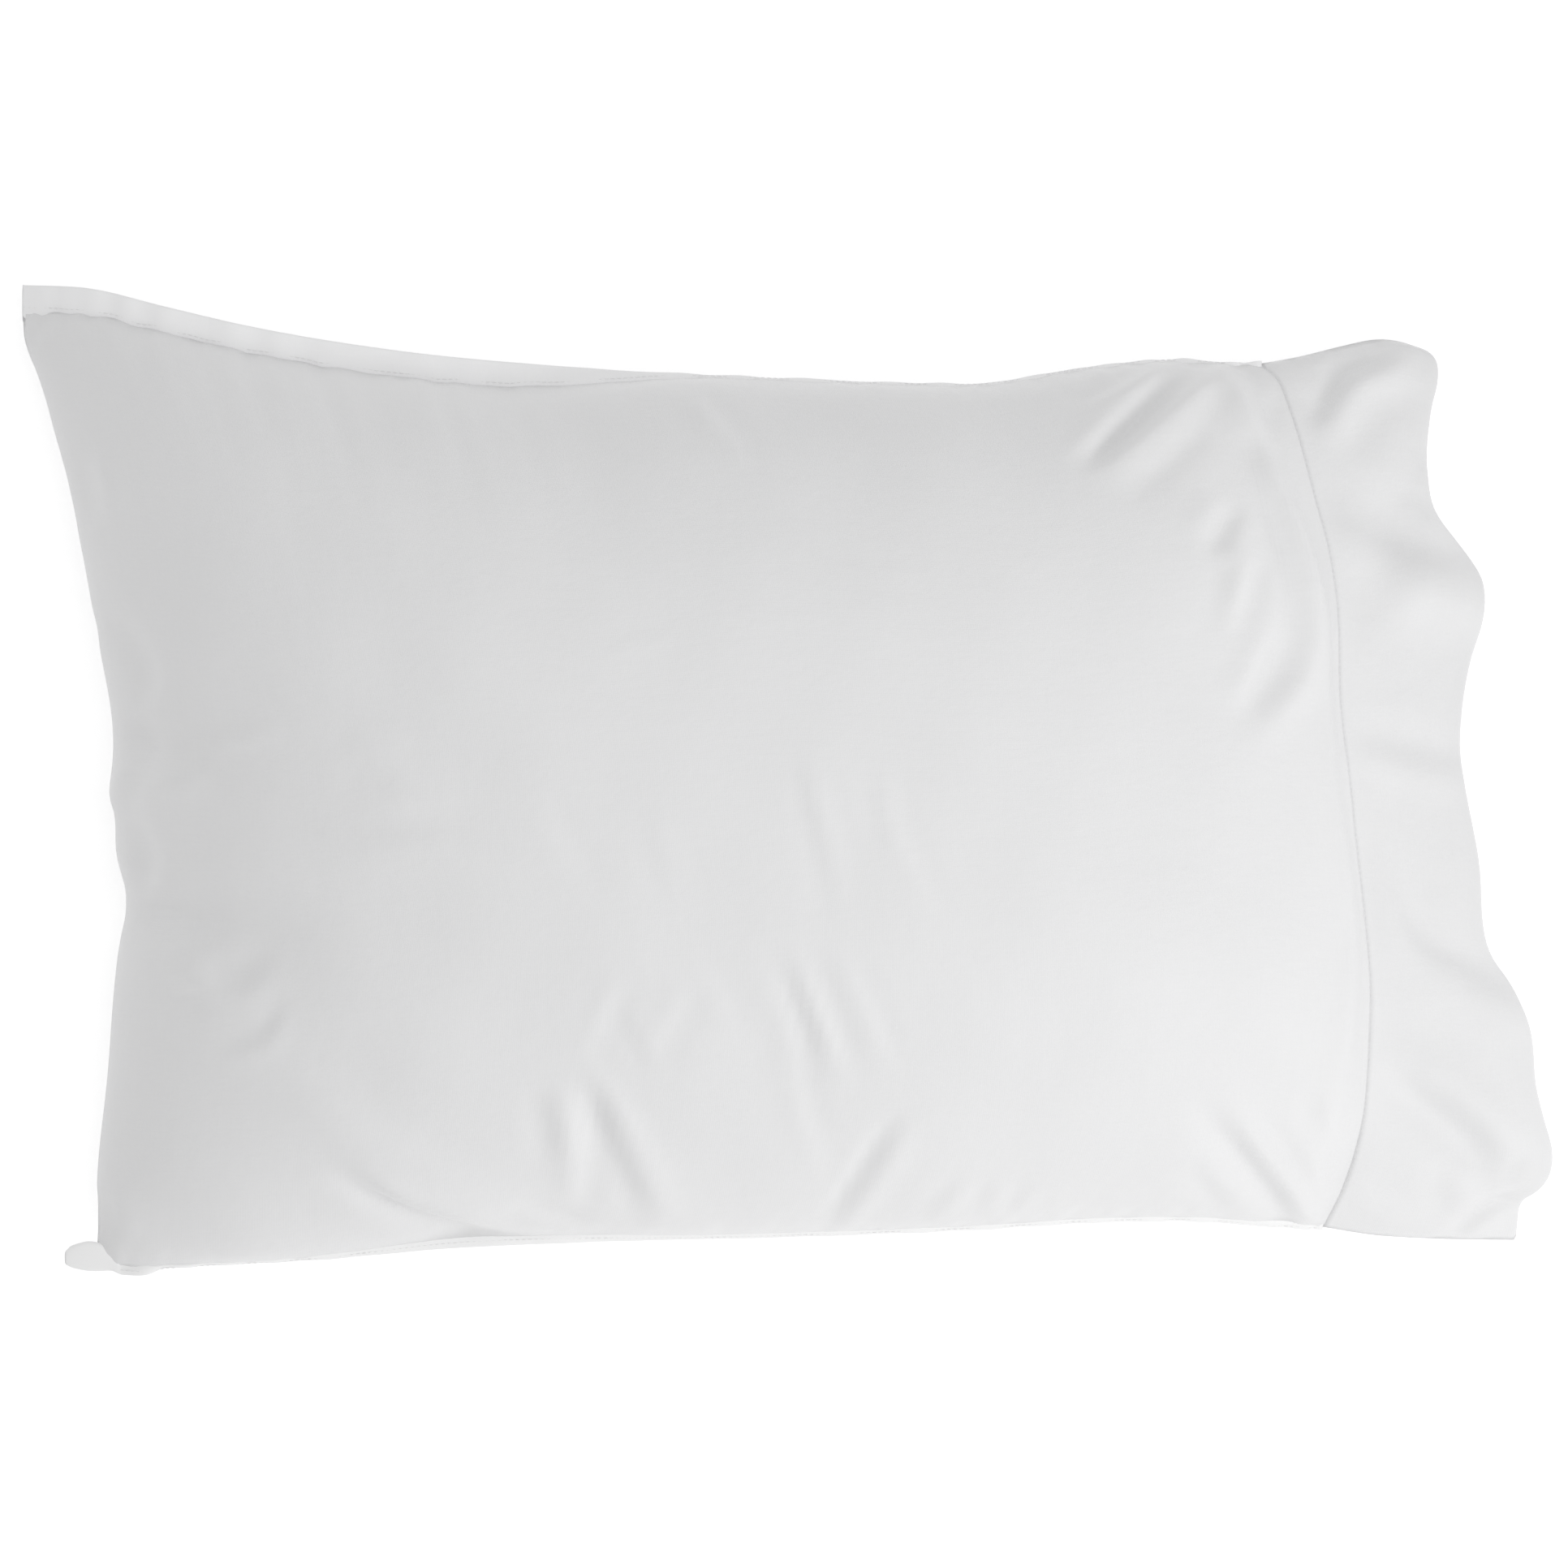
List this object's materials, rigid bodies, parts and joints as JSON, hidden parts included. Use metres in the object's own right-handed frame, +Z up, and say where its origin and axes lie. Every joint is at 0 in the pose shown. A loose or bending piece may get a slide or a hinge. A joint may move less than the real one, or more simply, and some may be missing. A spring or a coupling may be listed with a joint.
{
  "type": "bed pillow",
  "caption": "Bed pillow lying flat in a white cotton case with a wide doubled hem; the filled, piped pillow slides out of the open end.",
  "frame": {"origin": "middle of the bounding box, on the surface the pillow lies on", "axes": "+X along the pillow's length towards the open, hemmed end; +Y across it towards the far long edge; +Z up through its loft"},
  "size_m": [0.7651, 0.494, 0.16],
  "materials": {
    "case_cotton": "smooth close sateen weave with a soft sheen",
    "thread": "spun polyester sewing thread",
    "ticking_cotton": "dense cotton twill, matt",
    "piping_cotton": "corded cotton bias tape",
    "fibre_fill": "loose carded polyester fibre",
    "label_satin": "folded satin ribbon, blank"
  },
  "bodies": {
    "pillowcase": {"case_body": "case_cotton", "hem_cuff": "case_cotton", "far_side_seam": "case_cotton", "near_side_seam": "case_cotton", "hem_stitching": "thread", "far_seam_stitching": "thread", "near_seam_stitching": "thread", "case_label": "label_satin"},
    "pillow_insert": {"ticking_top": "ticking_cotton", "ticking_bottom": "ticking_cotton", "fill_core": "fibre_fill", "edge_piping": "piping_cotton", "closing_stitching": "thread", "insert_label": "label_satin"}
  },
  "joints": [
    {"name": "insert_slide", "type": "slide", "parent": "pillowcase", "child": "pillow_insert", "axis": [1, 0, 0], "range_m": [0, 0.72], "deforming": ["case_body", "hem_cuff", "far_side_seam", "near_side_seam", "hem_stitching", "far_seam_stitching", "near_seam_stitching", "case_label"]}
  ]
}
